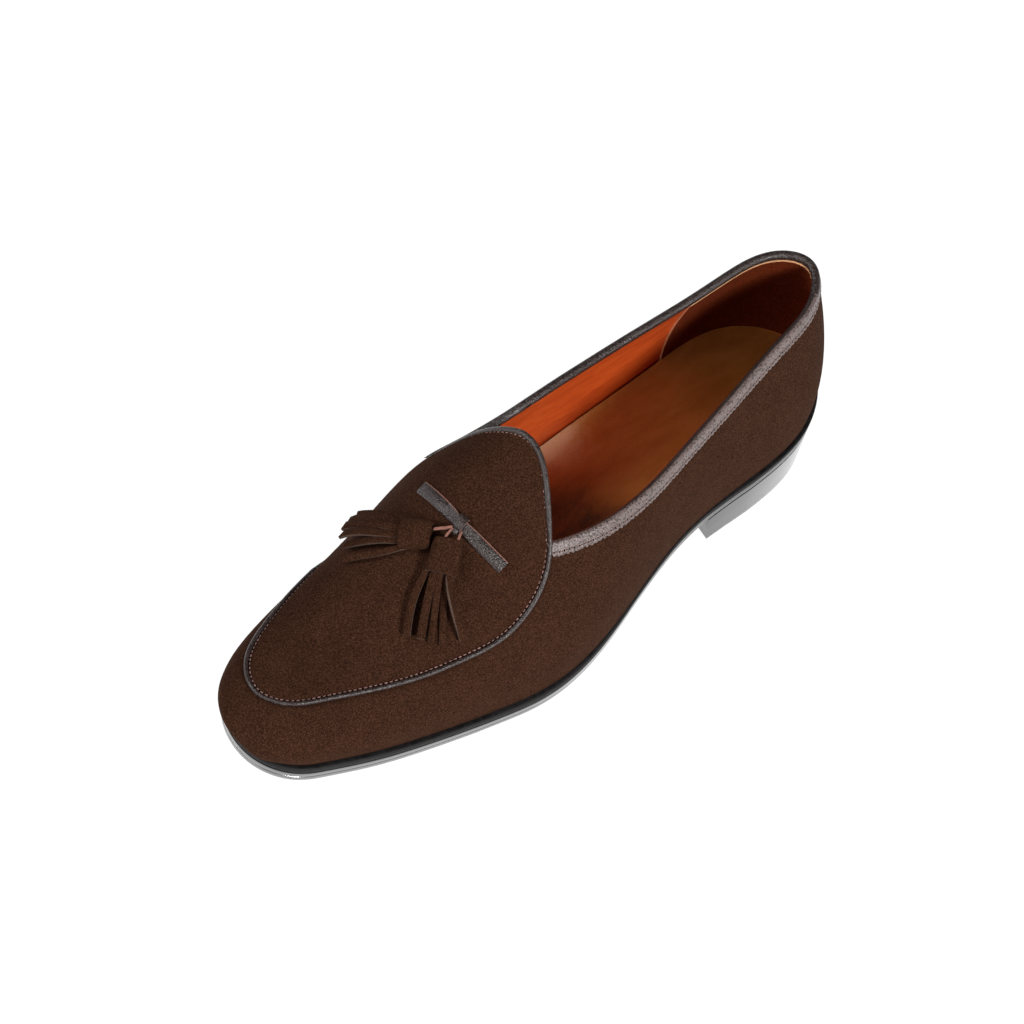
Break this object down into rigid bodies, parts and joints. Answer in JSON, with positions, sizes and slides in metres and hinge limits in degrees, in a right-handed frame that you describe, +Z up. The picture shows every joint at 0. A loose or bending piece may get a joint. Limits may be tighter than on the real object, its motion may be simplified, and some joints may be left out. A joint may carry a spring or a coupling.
{
  "type": "slip-on dress shoe",
  "caption": "Suede slip-on dress shoe for the left foot, with a piped apron, bound collar, strap bow and tassels, on a thin black leather sole with a low heel.",
  "frame": {"origin": "middle of the shoe's box, on the floor it stands on", "axes": "+Z up, -Y towards the toe, +X towards the outer side of the left foot"},
  "size_m": [0.0968, 0.298, 0.092],
  "materials": {
    "brown_suede": "napped dark brown suede",
    "brown_leather": "grained dark brown leather, semi-matt",
    "tan_leather": "smooth tan leather",
    "black_leather": "polished black edge"
  },
  "bodies": {
    "root": {"upper": "brown_suede", "tassel_front": "brown_suede", "tassel_side": "brown_suede", "collar_binding": "brown_leather", "apron_piping": "brown_leather", "bow": "brown_leather", "insole": "tan_leather", "welt": "black_leather", "outsole": "black_leather", "heel": "black_leather"}
  },
  "joints": []
}
